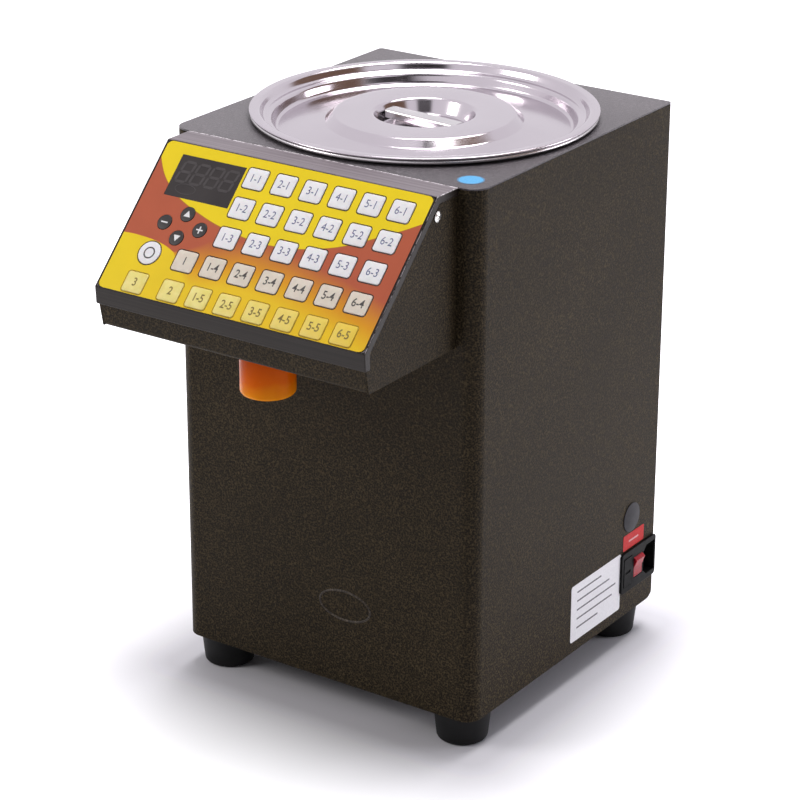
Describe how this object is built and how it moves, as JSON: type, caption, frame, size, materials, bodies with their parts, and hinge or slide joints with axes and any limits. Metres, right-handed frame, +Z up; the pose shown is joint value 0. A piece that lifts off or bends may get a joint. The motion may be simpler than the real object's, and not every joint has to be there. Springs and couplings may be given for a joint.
{
  "type": "fructose dispenser",
  "caption": "Counter dispenser for fructose syrup: painted steel casing with a lidded steel bucket in its top, an overhanging keypad head, an orange nozzle and a gear pump inside.",
  "frame": {"origin": "under the middle of the machine, on the surface that its feet stand on", "axes": "+X to the viewer's right, +Y from the keypad to the back, +Z up"},
  "size_m": [0.2574, 0.361, 0.42],
  "materials": {
    "bronze_paint": "hammered bronze-black stove enamel",
    "foot_rubber": "matt moulded rubber",
    "screw_steel": "zinc plated",
    "frame_plastic": "satin black moulding",
    "printed_film": "printed polyester film, yellow and terracotta",
    "window_plastic": "smoked window",
    "module_black": "matt black digit module",
    "board_green": "solder-masked board",
    "key_white": "fine satin",
    "key_black": "fine satin",
    "polished_steel": "polished stainless steel",
    "seal_rubber": "smooth",
    "nozzle_orange": "translucent orange",
    "brass": "machined",
    "inlet_black": "fine spark texture",
    "rocker_red": "glossy red",
    "clear_hose": "milky food hose",
    "pump_metal": "machined",
    "shaft_steel": "ground",
    "motor_grey": "grey enamel",
    "supply_steel": "plain folded sheet"
  },
  "bodies": {
    "casing": {"body_shell": "bronze_paint", "top_plate": "bronze_paint", "rear_cover": "bronze_paint", "base_plate": "bronze_paint", "head_shell": "bronze_paint", "rubber_feet": "foot_rubber", "casing_screws": "screw_steel", "hose_clamps": "screw_steel", "panel_frame": "frame_plastic", "keypad_film": "printed_film", "display_window": "window_plastic", "display_module": "module_black", "control_board": "board_green", "function_keys": "key_white", "syrup_bucket": "polished_steel", "nozzle_spout": "polished_steel", "bucket_gasket": "seal_rubber", "hole_plug": "seal_rubber", "nozzle_cover": "nozzle_orange", "lock_nuts": "brass", "outlet_fitting": "brass", "inlet_pins": "brass", "power_inlet": "inlet_black", "suction_hose": "clear_hose", "delivery_hose": "clear_hose", "pump_body": "pump_metal", "pump_cover": "pump_metal", "idler_pin": "shaft_steel", "pump_motor": "motor_grey", "motor_bracket": "motor_grey", "power_supply": "supply_steel"},
    "lid": {"bucket_lid": "polished_steel", "lid_handle": "polished_steel"},
    "rocker": {"rocker_switch": "rocker_red"},
    "fuse_drawer": {"fuse_drawer": "inlet_black"},
    "pump_drive": {"drive_gear": "brass", "drive_shaft": "shaft_steel"},
    "driven_gear": {"driven_gear": "brass"},
    "key_1_1": {"key_1_1": "key_white"},
    "key_2_1": {"key_2_1": "key_white"},
    "key_3_1": {"key_3_1": "key_white"},
    "key_4_1": {"key_4_1": "key_white"},
    "key_5_1": {"key_5_1": "key_white"},
    "key_6_1": {"key_6_1": "key_white"},
    "key_1_2": {"key_1_2": "key_white"},
    "key_2_2": {"key_2_2": "key_white"},
    "key_3_2": {"key_3_2": "key_white"},
    "key_4_2": {"key_4_2": "key_white"},
    "key_5_2": {"key_5_2": "key_white"},
    "key_6_2": {"key_6_2": "key_white"},
    "key_1_3": {"key_1_3": "key_white"},
    "key_2_3": {"key_2_3": "key_white"},
    "key_3_3": {"key_3_3": "key_white"},
    "key_4_3": {"key_4_3": "key_white"},
    "key_5_3": {"key_5_3": "key_white"},
    "key_6_3": {"key_6_3": "key_white"},
    "up_key": {"up_key": "key_black"},
    "down_key": {"down_key": "key_black"},
    "left_key": {"left_key": "key_black"},
    "right_key": {"right_key": "key_black"}
  },
  "joints": [
    {"name": "lid_lift", "type": "slide", "parent": "casing", "child": "lid", "axis": [0, 0, 1], "range_m": [0, 0.15]},
    {"name": "rocker_tilt", "type": "hinge", "parent": "casing", "child": "rocker", "pos_m": [0.1235, 0.14977, 0.0605], "axis": [0, 1, 0], "range_deg": [-20, 0]},
    {"name": "fuse_drawer_slide", "type": "slide", "parent": "casing", "child": "fuse_drawer", "axis": [1, 0, 0], "range_m": [0, 0.012]},
    {"name": "pump_spin", "type": "hinge", "parent": "casing", "child": "pump_drive", "pos_m": [-0.03, -0.0127, 0.07], "axis": [0, 1, 0], "continuous": true},
    {"name": "driven_gear_spin", "type": "hinge", "parent": "casing", "child": "driven_gear", "pos_m": [-0.03, -0.0127, 0.08806], "axis": [0, 1, 0], "continuous": true},
    {"name": "key_1_1_press", "type": "slide", "parent": "casing", "child": "key_1_1", "axis": [0, 0.7096, -0.7046], "range_m": [0, 0.0004], "stiffness_N_per_m": 5000},
    {"name": "key_2_1_press", "type": "slide", "parent": "casing", "child": "key_2_1", "axis": [0, 0.7096, -0.7046], "range_m": [0, 0.0004], "stiffness_N_per_m": 5000},
    {"name": "key_3_1_press", "type": "slide", "parent": "casing", "child": "key_3_1", "axis": [0, 0.7096, -0.7046], "range_m": [0, 0.0004], "stiffness_N_per_m": 5000},
    {"name": "key_4_1_press", "type": "slide", "parent": "casing", "child": "key_4_1", "axis": [0, 0.7096, -0.7046], "range_m": [0, 0.0004], "stiffness_N_per_m": 5000},
    {"name": "key_5_1_press", "type": "slide", "parent": "casing", "child": "key_5_1", "axis": [0, 0.7096, -0.7046], "range_m": [0, 0.0004], "stiffness_N_per_m": 5000},
    {"name": "key_6_1_press", "type": "slide", "parent": "casing", "child": "key_6_1", "axis": [0, 0.7096, -0.7046], "range_m": [0, 0.0004], "stiffness_N_per_m": 5000},
    {"name": "key_1_2_press", "type": "slide", "parent": "casing", "child": "key_1_2", "axis": [0, 0.7096, -0.7046], "range_m": [0, 0.0004], "stiffness_N_per_m": 5000},
    {"name": "key_2_2_press", "type": "slide", "parent": "casing", "child": "key_2_2", "axis": [0, 0.7096, -0.7046], "range_m": [0, 0.0004], "stiffness_N_per_m": 5000},
    {"name": "key_3_2_press", "type": "slide", "parent": "casing", "child": "key_3_2", "axis": [0, 0.7096, -0.7046], "range_m": [0, 0.0004], "stiffness_N_per_m": 5000},
    {"name": "key_4_2_press", "type": "slide", "parent": "casing", "child": "key_4_2", "axis": [0, 0.7096, -0.7046], "range_m": [0, 0.0004], "stiffness_N_per_m": 5000},
    {"name": "key_5_2_press", "type": "slide", "parent": "casing", "child": "key_5_2", "axis": [0, 0.7096, -0.7046], "range_m": [0, 0.0004], "stiffness_N_per_m": 5000},
    {"name": "key_6_2_press", "type": "slide", "parent": "casing", "child": "key_6_2", "axis": [0, 0.7096, -0.7046], "range_m": [0, 0.0004], "stiffness_N_per_m": 5000},
    {"name": "key_1_3_press", "type": "slide", "parent": "casing", "child": "key_1_3", "axis": [0, 0.7096, -0.7046], "range_m": [0, 0.0004], "stiffness_N_per_m": 5000},
    {"name": "key_2_3_press", "type": "slide", "parent": "casing", "child": "key_2_3", "axis": [0, 0.7096, -0.7046], "range_m": [0, 0.0004], "stiffness_N_per_m": 5000},
    {"name": "key_3_3_press", "type": "slide", "parent": "casing", "child": "key_3_3", "axis": [0, 0.7096, -0.7046], "range_m": [0, 0.0004], "stiffness_N_per_m": 5000},
    {"name": "key_4_3_press", "type": "slide", "parent": "casing", "child": "key_4_3", "axis": [0, 0.7096, -0.7046], "range_m": [0, 0.0004], "stiffness_N_per_m": 5000},
    {"name": "key_5_3_press", "type": "slide", "parent": "casing", "child": "key_5_3", "axis": [0, 0.7096, -0.7046], "range_m": [0, 0.0004], "stiffness_N_per_m": 5000},
    {"name": "key_6_3_press", "type": "slide", "parent": "casing", "child": "key_6_3", "axis": [0, 0.7096, -0.7046], "range_m": [0, 0.0004], "stiffness_N_per_m": 5000},
    {"name": "up_key_press", "type": "slide", "parent": "casing", "child": "up_key", "axis": [0, 0.7096, -0.7046], "range_m": [0, 0.0004], "stiffness_N_per_m": 5000},
    {"name": "down_key_press", "type": "slide", "parent": "casing", "child": "down_key", "axis": [0, 0.7096, -0.7046], "range_m": [0, 0.0004], "stiffness_N_per_m": 5000},
    {"name": "left_key_press", "type": "slide", "parent": "casing", "child": "left_key", "axis": [0, 0.7096, -0.7046], "range_m": [0, 0.0004], "stiffness_N_per_m": 5000},
    {"name": "right_key_press", "type": "slide", "parent": "casing", "child": "right_key", "axis": [0, 0.7096, -0.7046], "range_m": [0, 0.0004], "stiffness_N_per_m": 5000}
  ],
  "couplings": [
    {"joint": "driven_gear_spin", "follows": "pump_spin", "ratio": -1}
  ]
}
